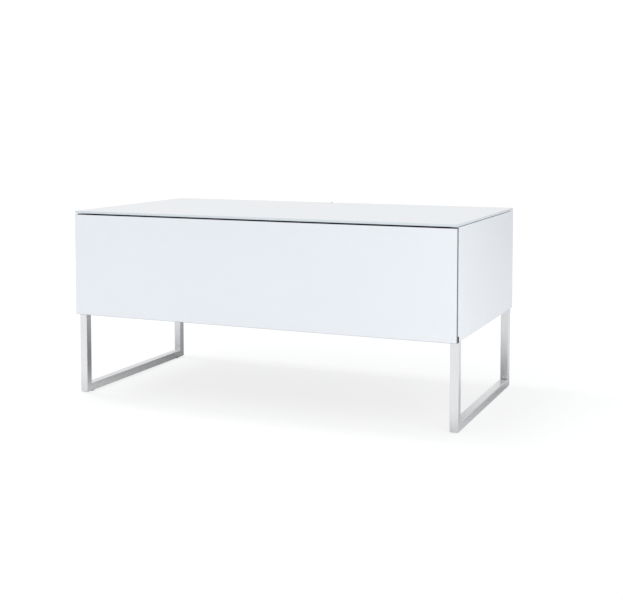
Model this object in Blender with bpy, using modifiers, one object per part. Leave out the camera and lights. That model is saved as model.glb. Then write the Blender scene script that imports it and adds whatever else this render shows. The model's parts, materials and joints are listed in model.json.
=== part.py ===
"""A low television stand: a gloss white cabinet with a glass top, one drop-down flap and two sled legs.

Metres, +Z up, front facing -Y. The origin is on the floor under the middle of the stand.
The flap turns on two pins at its lower corners. On each side a damper arm and a link hold it, and
with the flap and the cabinet they form a parallelogram, so arm and flap always turn together.
"""

import math

import bmesh
import bpy
from mathutils import Matrix

MM = 0.001

# Overall size
WIDTH = 1000 * MM
DEPTH = 535 * MM
HEIGHT = 470 * MM
UNDERSIDE = 206 * MM  # floor to the underside of the cabinet

# Clearances
FIT = 0.3 * MM  # between fixed pieces that touch
TURN = 0.3 * MM  # between a pin and the bore round it
STAY_GAP = 0.5 * MM  # between the flat bars of a stay

# Glass top and what it lies on
TOP_GLASS = 6 * MM
TOP_SEAT = 1.6 * MM  # space under the glass, filled by the pads
PAD_RADIUS = 8 * MM
PAD_INSET = 45 * MM  # from the ends and the edges of the top panel
NOTCH_WIDTH = 26 * MM
NOTCH_DEPTH = 20 * MM
NOTCH_RADIUS = 8 * MM
LINING_WALL = 2 * MM

# Cabinet panels
SIDE_PANEL = 18 * MM
TOP_PANEL = 16 * MM
BOTTOM_PANEL = 18 * MM
BACK_PANEL = 8 * MM
DIVIDER_PANEL = 16 * MM
DIVIDER_SETBACK = 70 * MM
CABLE_CHANNEL = 22 * MM  # open space behind the back panel
CUTOUT_DEPTH = 40 * MM  # cable cut-out in the rear edge of the divider
CUTOUT_HEIGHT = 60 * MM
CUTOUT_RADIUS = 10 * MM
OUTLET_WIDTH = 80 * MM  # cable outlets in the back panel
OUTLET_HEIGHT = 36 * MM
OUTLET_WALL = 2 * MM
OUTLET_FLANGE = 6 * MM

# Flap
FLAP_GLASS = 5 * MM
FLAP_BOARD = 14 * MM
FLAP_TOP_GAP = 3.2 * MM
FLAP_SIDE_GAP = 5 * MM  # back of the flap glass to the front edges of the sides
BOARD_END_GAP = 5 * MM
BOARD_TOP_STEP = 2 * MM  # upper edge of the board below that of the glass
BOARD_REAR_GAP = 4.7 * MM  # back of the board to the front edges of the panels
BUMPER_RADIUS = 4 * MM
BUMPER_HEIGHT = 2.9 * MM
BUMPER_DROP = 8 * MM

# Flap hinges
PIN_RADIUS = 2 * MM
KNUCKLE_RADIUS = 4.1 * MM
KNUCKLE_GAP = 0.4 * MM  # knuckle to the back of the flap glass
KNUCKLE_LIFT = 0.7 * MM  # knuckle above the lower edge of the flap
LEAF_LENGTH = 46 * MM
LEAF_THICK = 2 * MM
LEAF_END_GAP = 0.5 * MM
LEAF_ROLL = 330  # degrees at which the rolled knuckle ends under the leaf
BLOCK_BEHIND = 7.7 * MM  # block behind the axis
BLOCK_ABOVE = 8.9 * MM
BLOCK_INSIDE = 4.5 * MM  # block standing inside the side panel
BLOCK_RECESS = 1 * MM  # end of the block behind the outer face of the side
PIN_END_WALL = 2 * MM

# Pegs moulded on the fittings and pressed into the boards
PEG_RADIUS = 2.5 * MM
PEG_LENGTH = 9 * MM

# Damper stays
STAY_STANDOFF = 9 * MM  # flap pivot behind the board
STAY_LIFT = 80 * MM  # flap pivot above the hinge axis
STAY_BACK = 62 * MM  # damper axis behind the hinge axis
STAY_UP = 52 * MM  # damper axis above the hinge axis
STAY_BAR = 2.8 * MM
STAY_WIDTH = 11 * MM
STAY_PIN_RADIUS = 3 * MM
DAMPER_RADIUS = 19 * MM
DAMPER_THICK = 12.7 * MM
DAMPER_BASE_LENGTH = 60 * MM
DAMPER_BASE_WIDTH = 24 * MM
DAMPER_BASE_THICK = 3 * MM
DAMPER_PEG_SPACING = 46 * MM
SHAFT_RADIUS = 5 * MM
SHAFT_LENGTH = 8 * MM
HUB_RADIUS = 9 * MM
BRACKET_LENGTH = 34 * MM
BRACKET_HEIGHT = 28 * MM
BRACKET_THICK = 2.5 * MM
BRACKET_PEG_SPACING = 18 * MM
NOSE_ANGLE = 60  # degrees of the cheek's round nose, above and below the pin

# Push latch
LATCH_LENGTH = 60 * MM
LATCH_WIDTH = 24 * MM
LATCH_HEIGHT = 16 * MM
LATCH_SETBACK = 2 * MM
LATCH_PEG_SPACING = 34 * MM
PLUNGER_RADIUS = 5 * MM
PLUNGER_LENGTH = 36 * MM
PLUNGER_TRAVEL = 4 * MM
STRIKE_SIDE = 26 * MM
STRIKE_THICK = 1.5 * MM

# Sled legs
TUBE = 20 * MM
TUBE_WALL = 1.5 * MM
TUBE_ROUND = 1.2 * MM
LEG_CLEARANCE = 2.2 * MM  # open flap to the front of the legs
LEG_REAR_SETBACK = 22.5 * MM
PLATE_REACH = 58 * MM
PLATE_LENGTH = 44 * MM
PLATE_THICK = 4 * MM
PLATE_SETBACK = 2 * MM
GLIDE_THICK = 2 * MM
GLIDE_RADIUS = 8 * MM
GLIDE_STEM_RADIUS = 3 * MM
GLIDE_STEM_LENGTH = 6 * MM
GLIDE_INSET = 30 * MM

# Screws: radii of head and shank, height of the head
LEG_SCREW_HEAD = 5 * MM
LEG_SCREW_SHANK = 2.4 * MM
LEG_SCREW_CAP = 3 * MM
LEG_SCREW_GRIP = 12 * MM  # length in the bottom panel
LEG_SCREW_SPACING = 28 * MM
BACK_SCREW_HEAD = 3.8 * MM
BACK_SCREW_SHANK = 1.7 * MM
BACK_SCREW_CAP = 2 * MM
BACK_SCREW_GRIP = 13 * MM
BACK_SCREW_INSET = 60 * MM
SCREW_DOME = ((0.6, 0.9), (0.9, 0.55))  # shares of a head's radius and height

# Edges and facets
PANEL_EDGE = 0.8 * MM
GLASS_EDGE = 0.6 * MM
FITTING_EDGE = 0.6 * MM
OVERLAP = 1 * MM  # how far pieces that are joined run into each other
ROUND_STEPS = 24
SMALL_STEPS = 12
CORNER_STEPS = 4
SHARP_ANGLE = math.radians(35)
FLAT_ANGLE = math.radians(0.5)  # faces that bend less than this are one
SAME_POINT = 0.005 * MM

# Planes and axes worked out from the sizes above
FRONT = -DEPTH / 2
REAR = DEPTH / 2
SIDE_OUT = WIDTH / 2
SIDE_IN = SIDE_OUT - SIDE_PANEL
PANEL_END = SIDE_IN - FIT
GLASS_LOW = HEIGHT - TOP_GLASS
CASE_TOP = GLASS_LOW - TOP_SEAT
TOP_LOW = CASE_TOP - TOP_PANEL
FLOOR_TOP = UNDERSIDE + BOTTOM_PANEL
FLAP_TOP = GLASS_LOW - FLAP_TOP_GAP
GLASS_BACK = FRONT + FLAP_GLASS
SIDE_FRONT = GLASS_BACK + FLAP_SIDE_GAP
BOARD_FRONT = GLASS_BACK + FIT
BOARD_REAR = BOARD_FRONT + FLAP_BOARD
BOARD_END = SIDE_IN - BOARD_END_GAP
CASE_FRONT = BOARD_REAR + BOARD_REAR_GAP
BACK_REAR = REAR - CABLE_CHANNEL
BACK_FRONT = BACK_REAR - BACK_PANEL
CASE_REAR = BACK_FRONT - FIT
AXIS_Y = GLASS_BACK + KNUCKLE_GAP + KNUCKLE_RADIUS
AXIS_Z = UNDERSIDE + KNUCKLE_LIFT + KNUCKLE_RADIUS
LEAF_TOP = AXIS_Z + KNUCKLE_RADIUS
BOARD_LOW = LEAF_TOP + FIT
BLOCK_REAR = AXIS_Y + BLOCK_BEHIND
BLOCK_TOP = AXIS_Z + BLOCK_ABOVE
FLAP_PIVOT = (BOARD_REAR + STAY_STANDOFF, AXIS_Z + STAY_LIFT)
DAMPER_AXIS = (AXIS_Y + STAY_BACK, AXIS_Z + STAY_UP)
ELBOW = (DAMPER_AXIS[0] + FLAP_PIVOT[0] - AXIS_Y, DAMPER_AXIS[1] + FLAP_PIVOT[1] - AXIS_Z)
DAMPER_OUT = SIDE_IN - FIT
DAMPER_IN = DAMPER_OUT - DAMPER_THICK
ARM_OUT = DAMPER_IN - STAY_GAP
ARM_IN = ARM_OUT - STAY_BAR
LINK_OUT = ARM_IN - STAY_GAP
LINK_IN = LINK_OUT - STAY_BAR
STRIKE_REAR = BOARD_REAR + FIT + STRIKE_THICK
LATCH_Z = TOP_LOW - FIT - LATCH_HEIGHT / 2
LATCH_FRONT = CASE_FRONT + LATCH_SETBACK
LEG_FRONT = AXIS_Y + (AXIS_Z - UNDERSIDE) + LEG_CLEARANCE
LEG_REAR = REAR - LEG_REAR_SETBACK
LEG_TOP = UNDERSIDE - FIT
LEG_LOW = GLIDE_THICK + FIT
LEG_IN = SIDE_OUT - TUBE
PLATE_IN = LEG_IN - PLATE_REACH
PLATE_LOW = LEG_TOP - PLATE_THICK
SIDES = (("left", -1), ("right", 1))

# Local axes of an outline drawn in a plane square to X, Y or Z
PLANES = {
    "X": Matrix(((0, 0, 1), (1, 0, 0), (0, 1, 0))).to_4x4(),
    "Y": Matrix(((1, 0, 0), (0, 0, -1), (0, 1, 0))).to_4x4(),
    "Z": Matrix.Identity(4),
}


def clear_scene():
    for obj in list(bpy.data.objects):
        bpy.data.objects.remove(obj, do_unlink=True)


def new_collection(name):
    made = bpy.data.collections.new(name)
    bpy.context.scene.collection.children.link(made)
    return made


def new_material(name, colour, roughness, metallic=0.0):
    made = bpy.data.materials.new(name)
    made.use_nodes = True
    shader = made.node_tree.nodes["Principled BSDF"]
    shader.inputs["Base Color"].default_value = (*colour, 1.0)
    shader.inputs["Roughness"].default_value = roughness
    shader.inputs["Metallic"].default_value = metallic
    return made


def spread(side, inner, outer):
    """The stretch of X from inner to outer on the left (-1) or right (1) side, low end first."""
    return tuple(sorted((side * inner, side * outer)))


def place(name, mesh, material):
    obj = bpy.data.objects.new(name, mesh)
    mesh.materials.append(material)
    PARTS.objects.link(obj)
    return obj


def smooth(obj):
    obj.data.shade_smooth()
    obj.data.set_sharp_from_angle(angle=SHARP_ANGLE)
    return obj


def edge(obj, width, segments=1):
    bevel = obj.modifiers.new("Edges", "BEVEL")
    bevel.width = width
    bevel.segments = segments
    bevel.limit_method = "ANGLE"
    bevel.angle_limit = SHARP_ANGLE
    return obj


def box(name, x, y, z, material, edge_width=0.0):
    """A block between the ends of three (low, high) stretches."""
    mesh = bpy.data.meshes.new(name)
    shape = bmesh.new()
    bmesh.ops.create_cube(shape, size=1)
    size = [high - low for low, high in (x, y, z)]
    bmesh.ops.scale(shape, vec=size, verts=shape.verts)
    shape.to_mesh(mesh)
    shape.free()
    obj = place(name, mesh, material)
    obj.location = [(low + high) / 2 for low, high in (x, y, z)]
    if edge_width:
        edge(obj, edge_width)
    return obj


def rod(name, axis, centre, stretch, radius, material, steps=ROUND_STEPS):
    """A cylinder along an axis, from the low to the high end of the stretch on it."""
    mesh = bpy.data.meshes.new(name)
    shape = bmesh.new()
    length = stretch[1] - stretch[0]
    bmesh.ops.create_cone(
        shape, cap_ends=True, segments=steps, radius1=radius, radius2=radius, depth=length
    )
    bmesh.ops.transform(shape, matrix=PLANES[axis], verts=shape.verts)
    shape.to_mesh(mesh)
    shape.free()
    obj = smooth(place(name, mesh, material))
    middle = (stretch[0] + stretch[1]) / 2
    slot = "XYZ".index(axis)
    obj.location = [*centre[:slot], middle, *centre[slot:]]
    return obj


def arc(centre, radius, start, end, steps):
    """Points on a circle between two angles in degrees."""
    points = []
    for i in range(steps + 1):
        angle = math.radians(start + (end - start) * i / steps)
        u, v = radius * math.cos(angle), radius * math.sin(angle)
        points.append((centre[0] + u, centre[1] + v))
    return points


def rounded_box(low, high, radius):
    """A rectangle with round corners, as an outline."""
    points = []
    corners = (
        (high[0] - radius, high[1] - radius, 0),
        (low[0] + radius, high[1] - radius, 90),
        (low[0] + radius, low[1] + radius, 180),
        (high[0] - radius, low[1] + radius, 270),
    )
    for u, v, start in corners:
        points += arc((u, v), radius, start, start + 90, CORNER_STEPS)
    return points


def oblong(centre, width, height):
    """A slot shape with half-round ends, as an outline."""
    reach = (width - height) / 2
    right = arc((centre[0] + reach, centre[1]), height / 2, -90, 90, SMALL_STEPS)
    left = arc((centre[0] - reach, centre[1]), height / 2, 90, 270, SMALL_STEPS)
    return right + left


def bar_outline(start, end, start_radius, end_radius):
    """The outline of a flat bar with round ends about two points."""
    slope = math.degrees(math.atan2(end[1] - start[1], end[0] - start[0]))
    length = math.dist(start, end)
    lean = math.degrees(math.asin((start_radius - end_radius) / length))
    far = arc(end, end_radius, slope - 90 + lean, slope + 90 - lean, SMALL_STEPS)
    near = arc(start, start_radius, slope + 90 - lean, slope + 270 + lean, SMALL_STEPS)
    return far + near


def prism(name, axis, outline, stretch, material, edge_width=0.0):
    """An outline extruded along X, Y or Z. Its points are (y, z), (x, z) or (x, y)."""
    curve = bpy.data.curves.new(name, "CURVE")
    curve.dimensions = "2D"
    curve.fill_mode = "BOTH"
    curve.extrude = (stretch[1] - stretch[0]) / 2
    spline = curve.splines.new("POLY")
    spline.points.add(len(outline) - 1)
    for point, (u, v) in zip(spline.points, outline):
        point.co = (u, v, 0, 1)
    spline.use_cyclic_u = True
    drawn = bpy.data.objects.new(name, curve)
    PARTS.objects.link(drawn)
    graph = bpy.context.evaluated_depsgraph_get()
    mesh = bpy.data.meshes.new_from_object(drawn.evaluated_get(graph))
    bpy.data.objects.remove(drawn, do_unlink=True)
    bpy.data.curves.remove(curve)
    mesh.name = name
    mesh.materials.clear()
    shape = bmesh.new()
    shape.from_mesh(mesh)
    bmesh.ops.remove_doubles(shape, verts=shape.verts, dist=SAME_POINT)
    bmesh.ops.dissolve_limit(shape, angle_limit=FLAT_ANGLE, verts=shape.verts, edges=shape.edges)
    bmesh.ops.recalc_face_normals(shape, faces=shape.faces)
    bmesh.ops.transform(shape, matrix=PLANES[axis], verts=shape.verts)
    shape.to_mesh(mesh)
    shape.free()
    obj = smooth(place(name, mesh, material))
    middle = (stretch[0] + stretch[1]) / 2
    obj.location["XYZ".index(axis)] = middle
    if edge_width:
        edge(obj, edge_width)
    return obj


def turned(name, profile, material):
    """A profile of (radius, height) points, listed from the top down, turned about Z."""
    mesh = bpy.data.meshes.new(name)
    lines = [(i, i + 1) for i in range(len(profile) - 1)]
    mesh.from_pydata([(r, 0, z) for r, z in profile], lines, [])
    obj = place(name, mesh, material)
    screw = obj.modifiers.new("Turn", "SCREW")
    screw.steps = SMALL_STEPS
    screw.render_steps = SMALL_STEPS
    screw.use_merge_vertices = True
    screw.merge_threshold = SAME_POINT
    screw.use_smooth_shade = True
    return obj


def as_tool(obj):
    """Keeps a shape that cuts or joins another out of the finished parts."""
    PARTS.objects.unlink(obj)
    TOOLS.objects.link(obj)
    obj.hide_render = True
    obj.display_type = "WIRE"
    return obj


def combine(obj, operation, *tools):
    for tool in tools:
        change = obj.modifiers.new(operation.title(), "BOOLEAN")
        change.operation = operation
        change.solver = "EXACT"
        change.object = as_tool(tool)
    return obj


def cut(obj, *tools):
    return combine(obj, "DIFFERENCE", *tools)


def join(obj, *tools):
    return combine(obj, "UNION", *tools)


def hang(name, place_at, pieces, parent=None):
    """An empty on a joint's axis that carries the pieces turning or sliding there."""
    empty = bpy.data.objects.new(name, None)
    PARTS.objects.link(empty)
    if parent:
        empty.parent = parent
        empty.location = [a - b for a, b in zip(place_at, parent["rest"])]
    else:
        empty.location = place_at
    empty["rest"] = place_at
    for piece in pieces:
        tools = [change.object for change in piece.modifiers if change.type == "BOOLEAN"]
        for obj in [piece, *tools]:
            obj.parent = empty
            obj.matrix_parent_inverse = Matrix.Translation(place_at).inverted()
    return empty


def make_glass_top():
    half = NOTCH_WIDTH / 2
    deep = REAR - NOTCH_DEPTH
    left = arc((NOTCH_RADIUS - half, deep + NOTCH_RADIUS), NOTCH_RADIUS, 180, 270, CORNER_STEPS)
    right = arc((half - NOTCH_RADIUS, deep + NOTCH_RADIUS), NOTCH_RADIUS, 270, 360, CORNER_STEPS)
    corners = [(-SIDE_OUT, REAR), (-SIDE_OUT, FRONT), (SIDE_OUT, FRONT), (SIDE_OUT, REAR)]
    outline = corners + [(half, REAR)] + right[::-1] + left[::-1] + [(-half, REAR)]
    prism("glass_top", "Z", outline, (GLASS_LOW, HEIGHT), WHITE_GLASS, GLASS_EDGE)


def make_notch_lining():
    """The black edging in the cable notch, a U one wall thick."""
    outer = NOTCH_WIDTH / 2 - FIT
    inner = outer - LINING_WALL
    bend = REAR - NOTCH_DEPTH + NOTCH_RADIUS
    centres = (NOTCH_RADIUS - NOTCH_WIDTH / 2, NOTCH_WIDTH / 2 - NOTCH_RADIUS)
    outline = [(-outer, REAR - FIT)]
    for sign, reach in ((1, outer), (-1, inner)):
        radius = NOTCH_RADIUS - FIT if sign > 0 else NOTCH_RADIUS - FIT - LINING_WALL
        left = arc((centres[0], bend), radius, 180, 270, CORNER_STEPS)
        right = arc((centres[1], bend), radius, 270, 360, CORNER_STEPS)
        outline += (left + right)[::sign]
        outline.append((sign * reach, REAR - FIT))
        if sign > 0:
            outline.append((inner, REAR - FIT))
    prism("notch_lining", "Z", outline, (GLASS_LOW, HEIGHT - FIT), BLACK_PLASTIC)


def make_pads():
    rows = (("front", CASE_FRONT + PAD_INSET), ("rear", CASE_REAR - PAD_INSET))
    for row, y in rows:
        for side, sign in SIDES:
            x = sign * (PANEL_END - PAD_INSET)
            stretch = (CASE_TOP + FIT, GLASS_LOW - FIT)
            rod(f"glass_pad_{row}_{side}", "Z", (x, y), stretch, PAD_RADIUS, CLEAR_RUBBER)


def peg(axis, centre, seat, way, length=PEG_LENGTH, radius=PEG_RADIUS):
    """A peg that starts inside its fitting at the seat and points along or against an axis."""
    stretch = tuple(sorted((seat - way * OVERLAP, seat + way * length)))
    return rod("peg", axis, centre, stretch, radius, BLACK_PLASTIC, SMALL_STEPS)


def socket(axis, centre, seat, way, length=PEG_LENGTH, radius=PEG_RADIUS):
    """The hole for such a peg."""
    return peg(axis, centre, seat, way, length + 2 * FIT, radius + TURN)


def make_side_panels():
    """The sides, each notched at its lower front corner for the hinge block."""
    notch_y = (SIDE_FRONT - OVERLAP, BLOCK_REAR + FIT)
    notch_z = (UNDERSIDE - OVERLAP, BLOCK_TOP + FIT)
    depth = (SIDE_FRONT, REAR)
    height = (UNDERSIDE, CASE_TOP)
    for side, sign in SIDES:
        x = spread(sign, SIDE_IN, SIDE_OUT)
        panel = box(f"side_panel_{side}", x, depth, height, WHITE_LACQUER, PANEL_EDGE)
        notch_x = spread(sign, SIDE_IN - OVERLAP, SIDE_OUT + OVERLAP)
        cut(panel, box("notch", notch_x, notch_y, notch_z, WHITE_LACQUER))
        cut(panel, socket("Y", block_peg(sign), BLOCK_REAR + FIT, 1))
        for z in damper_pegs():
            cut(panel, socket("X", (DAMPER_AXIS[0], z), sign * SIDE_IN, sign))


def block_peg(sign):
    return (sign * (SIDE_IN + SIDE_PANEL / 2), AXIS_Z + BLOCK_ABOVE / 2)


def damper_pegs():
    return (DAMPER_AXIS[1] - DAMPER_PEG_SPACING / 2, DAMPER_AXIS[1] + DAMPER_PEG_SPACING / 2)


def latch_pegs():
    middle = LATCH_FRONT + LATCH_LENGTH / 2
    return (middle - LATCH_PEG_SPACING / 2, middle + LATCH_PEG_SPACING / 2)


def back_screw_rows():
    return (("upper", CASE_TOP - TOP_PANEL / 2), ("lower", UNDERSIDE + BOTTOM_PANEL / 2))


def back_screw_columns():
    reach = PANEL_END - BACK_SCREW_INSET
    return (("left", -reach), ("middle", 0), ("right", reach))


def back_screw_holes(z):
    stretch = (CASE_REAR - BACK_SCREW_GRIP - 2 * FIT, BACK_REAR + OVERLAP)
    radius = BACK_SCREW_SHANK + TURN
    return [
        rod("screw_hole", "Y", (x, z), stretch, radius, BLACK_BOARD, SMALL_STEPS)
        for _, x in back_screw_columns()
    ]


def leg_screws():
    """Side, end, sign and (x, y) of each screw in the mounting plates."""
    rows = (
        ("front", CASE_FRONT + PLATE_SETBACK + PLATE_LENGTH / 2),
        ("rear", CASE_REAR - PLATE_SETBACK - PLATE_LENGTH / 2),
    )
    middle = (PLATE_IN + LEG_IN) / 2
    columns = (("inner", middle - LEG_SCREW_SPACING / 2), ("outer", middle + LEG_SCREW_SPACING / 2))
    for row, y in rows:
        for column, x in columns:
            for side, sign in SIDES:
                yield f"{side}_{row}_{column}", sign, (sign * x, y)


def leg_screw_hole(centre):
    stretch = (PLATE_LOW - OVERLAP, UNDERSIDE + LEG_SCREW_GRIP + 2 * FIT)
    return rod("screw_hole", "Z", centre, stretch, LEG_SCREW_SHANK + TURN, BLACK_BOARD, SMALL_STEPS)


def make_panels():
    ends = (-PANEL_END, PANEL_END)
    depth = (CASE_FRONT, CASE_REAR)
    top = box("top_panel", ends, depth, (TOP_LOW, CASE_TOP), BLACK_BOARD, PANEL_EDGE)
    for y in latch_pegs():
        cut(top, socket("Z", (0, y), TOP_LOW, 1))
    bottom = box("bottom_panel", ends, depth, (UNDERSIDE, FLOOR_TOP), BLACK_BOARD, PANEL_EDGE)
    for _, _, centre in leg_screws():
        cut(bottom, leg_screw_hole(centre))
    height = (UNDERSIDE, CASE_TOP)
    back = box("back_panel", ends, (BACK_FRONT, BACK_REAR), height, BLACK_BOARD, PANEL_EDGE)
    for panel, (_, z) in zip((top, bottom), back_screw_rows()):
        cut(panel, *back_screw_holes(z))
        cut(back, *back_screw_holes(z))
    for centre in outlet_centres():
        outline = oblong(centre, OUTLET_WIDTH, OUTLET_HEIGHT)
        through = (BACK_FRONT - OVERLAP, BACK_REAR + OVERLAP)
        cut(back, prism("outlet", "Y", outline, through, BLACK_BOARD))


def make_divider():
    front = CASE_FRONT + DIVIDER_SETBACK
    low, high = FLOOR_TOP + FIT, TOP_LOW - FIT
    middle = (low + high) / 2
    deep = CASE_REAR - CUTOUT_DEPTH + CUTOUT_RADIUS
    reach = CUTOUT_HEIGHT / 2
    upper = arc((deep, middle + reach - CUTOUT_RADIUS), CUTOUT_RADIUS, 90, 180, CORNER_STEPS)
    lower = arc((deep, middle - reach + CUTOUT_RADIUS), CUTOUT_RADIUS, 180, 270, CORNER_STEPS)
    outline = [(CASE_REAR, low), (CASE_REAR, middle - reach)] + (upper + lower)[::-1]
    outline += [(CASE_REAR, middle + reach), (CASE_REAR, high), (front, high), (front, low)]
    half = DIVIDER_PANEL / 2
    prism("divider", "X", outline, (-half, half), BLACK_BOARD, PANEL_EDGE)


def outlet_centres():
    middle = (FLOOR_TOP + TOP_LOW) / 2
    return [(sign * PANEL_END / 2, middle) for _, sign in SIDES]


def make_outlet_rings():
    """The edging of each cable outlet: a sleeve through the panel with a flange behind it."""
    sleeve = (OUTLET_WIDTH - 2 * FIT, OUTLET_HEIGHT - 2 * FIT)
    hole = [side - 2 * OUTLET_WALL for side in sleeve]
    flange = [side + 2 * OUTLET_FLANGE for side in sleeve]
    seat = BACK_REAR + FIT
    for (side, _), centre in zip(SIDES, outlet_centres()):
        stretch = (seat, seat + OUTLET_WALL)
        ring = prism(f"outlet_ring_{side}", "Y", oblong(centre, *flange), stretch, BLACK_PLASTIC)
        within = (BACK_FRONT, seat + OVERLAP)
        join(ring, prism("sleeve", "Y", oblong(centre, *sleeve), within, BLACK_PLASTIC))
        through = (BACK_FRONT - OVERLAP, seat + OUTLET_WALL + OVERLAP)
        cut(ring, prism("outlet_hole", "Y", oblong(centre, *hole), through, BLACK_PLASTIC))


def screw_profile(head, cap, shank, length):
    """A pan-head screw, head up, with the underside of its head at height zero."""
    dome = [(0, cap), *((head * out, cap * up) for out, up in SCREW_DOME), (head, 0)]
    return dome + [(shank, 0), (shank, shank - length), (0, -length)]


def make_screws():
    length = BACK_REAR + FIT - CASE_REAR + BACK_SCREW_GRIP
    profile = screw_profile(BACK_SCREW_HEAD, BACK_SCREW_CAP, BACK_SCREW_SHANK, length)
    for row, z in back_screw_rows():
        for column, x in back_screw_columns():
            screw = turned(f"back_screw_{row}_{column}", profile, ZINC_STEEL)
            screw.location = (x, BACK_REAR + FIT, z)
            screw.rotation_euler.x = math.radians(-90)
    seat = PLATE_LOW - FIT
    length = UNDERSIDE + LEG_SCREW_GRIP - seat
    profile = screw_profile(LEG_SCREW_HEAD, LEG_SCREW_CAP, LEG_SCREW_SHANK, length)
    for name, _, centre in leg_screws():
        screw = turned(f"leg_screw_{name}", profile, ZINC_STEEL)
        screw.location = (*centre, seat)
        screw.rotation_euler.x = math.radians(180)


def tube_path(inset, top):
    """The U of a sled leg seen from the side, drawn in from the tube's outer faces by the inset."""
    inner = TUBE - inset
    return [
        (LEG_FRONT + inset, top),
        (LEG_FRONT + inset, LEG_LOW + inset),
        (LEG_REAR - inset, LEG_LOW + inset),
        (LEG_REAR - inset, top),
        (LEG_REAR - inner, top),
        (LEG_REAR - inner, LEG_LOW + inner),
        (LEG_FRONT + inner, LEG_LOW + inner),
        (LEG_FRONT + inner, top),
    ]


def glide_rows():
    return (("front", LEG_FRONT + GLIDE_INSET), ("rear", LEG_REAR - GLIDE_INSET))


def make_legs():
    """Two U frames of square tube, open at the top, each with two plates welded to its inner side."""
    plates = (
        (CASE_FRONT + PLATE_SETBACK, CASE_FRONT + PLATE_SETBACK + PLATE_LENGTH),
        (CASE_REAR - PLATE_SETBACK - PLATE_LENGTH, CASE_REAR - PLATE_SETBACK),
    )
    for side, sign in SIDES:
        width = spread(sign, LEG_IN, SIDE_OUT)
        frame = prism(f"leg_frame_{side}", "X", tube_path(0, LEG_TOP), width, STEEL)
        edge(frame, TUBE_ROUND, 2)
        for y in plates:
            x = spread(sign, PLATE_IN, LEG_IN + TUBE_WALL)
            join(frame, box("plate", x, y, (PLATE_LOW, LEG_TOP), STEEL))
        hollow = spread(sign, LEG_IN + TUBE_WALL, SIDE_OUT - TUBE_WALL)
        cut(frame, prism("tube_bore", "X", tube_path(TUBE_WALL, LEG_TOP + OVERLAP), hollow, STEEL))
        for _, screw_sign, centre in leg_screws():
            if screw_sign == sign:
                cut(frame, leg_screw_hole(centre))
        x = sign * (SIDE_OUT - TUBE / 2)
        for _, y in glide_rows():
            hole = (LEG_LOW - OVERLAP, LEG_LOW + TUBE_WALL + OVERLAP)
            radius = GLIDE_STEM_RADIUS + TURN
            cut(frame, rod("glide_hole", "Z", (x, y), hole, radius, STEEL, SMALL_STEPS))


def make_glides():
    rim = GLIDE_THICK / 2
    profile = [
        (0, GLIDE_THICK + GLIDE_STEM_LENGTH),
        (GLIDE_STEM_RADIUS, GLIDE_THICK + GLIDE_STEM_LENGTH),
        (GLIDE_STEM_RADIUS, GLIDE_THICK),
        (GLIDE_RADIUS, GLIDE_THICK),
        (GLIDE_RADIUS, rim),
        (GLIDE_RADIUS - rim, 0),
        (0, 0),
    ]
    for row, y in glide_rows():
        for side, sign in SIDES:
            glide = turned(f"glide_{row}_{side}", profile, BLACK_PLASTIC)
            glide.location = (sign * (SIDE_OUT - TUBE / 2), y, 0)


def make_bumpers():
    for side, sign in SIDES:
        centre = (sign * (SIDE_IN + SIDE_PANEL / 2), CASE_TOP - BUMPER_DROP)
        stretch = (SIDE_FRONT - FIT - BUMPER_HEIGHT, SIDE_FRONT - FIT)
        rod(f"flap_bumper_{side}", "Y", centre, stretch, BUMPER_RADIUS, BLACK_RUBBER)


def make_hinge_blocks():
    """The bearing blocks in the lower front corners of the sides, round about the axis in front."""
    axis = (AXIS_Y, AXIS_Z)
    low = AXIS_Z - KNUCKLE_RADIUS
    outline = [(BLOCK_REAR, low), (BLOCK_REAR, BLOCK_TOP), (AXIS_Y - KNUCKLE_RADIUS, BLOCK_TOP)]
    outline += arc(axis, KNUCKLE_RADIUS, 180, 270, 2 * CORNER_STEPS)
    for side, sign in SIDES:
        inner, outer = SIDE_IN - BLOCK_INSIDE, SIDE_OUT - BLOCK_RECESS
        block = prism(f"hinge_block_{side}", "X", outline, spread(sign, inner, outer), BLACK_PLASTIC)
        join(block, peg("Y", block_peg(sign), BLOCK_REAR, 1))
        bore = spread(sign, inner - OVERLAP, outer - PIN_END_WALL)
        cut(block, rod("pin_bore", "X", axis, bore, PIN_RADIUS + TURN, BLACK_PLASTIC))
        pin = spread(sign, BOARD_END - LEAF_END_GAP - LEAF_LENGTH, outer - PIN_END_WALL - FIT)
        rod(f"hinge_pin_{side}", "X", axis, pin, PIN_RADIUS, ZINC_STEEL)


def make_flap():
    ends = (-SIDE_OUT, SIDE_OUT)
    glass = box("flap_glass", ends, (FRONT, GLASS_BACK), (UNDERSIDE, FLAP_TOP), WHITE_GLASS, GLASS_EDGE)
    ends = (-BOARD_END, BOARD_END)
    depth = (BOARD_FRONT, BOARD_REAR)
    height = (BOARD_LOW, FLAP_TOP - BOARD_TOP_STEP)
    board = box("flap_board", ends, depth, height, WHITE_LACQUER, PANEL_EDGE)
    for _, sign in SIDES:
        for x in leaf_pegs(sign):
            cut(board, socket("Z", (x, (BOARD_FRONT + BOARD_REAR) / 2), BOARD_LOW, 1))
        for x in bracket_pegs(sign):
            cut(board, socket("Y", (x, FLAP_PIVOT[1]), BOARD_REAR, -1))
    cut(board, socket("Y", (0, LATCH_Z), BOARD_REAR, -1))
    return [glass, board]


def leaf_pegs(sign):
    outer = BOARD_END - LEAF_END_GAP
    return (sign * (outer - LEAF_LENGTH / 4), sign * (outer - 3 * LEAF_LENGTH / 4))


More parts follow.
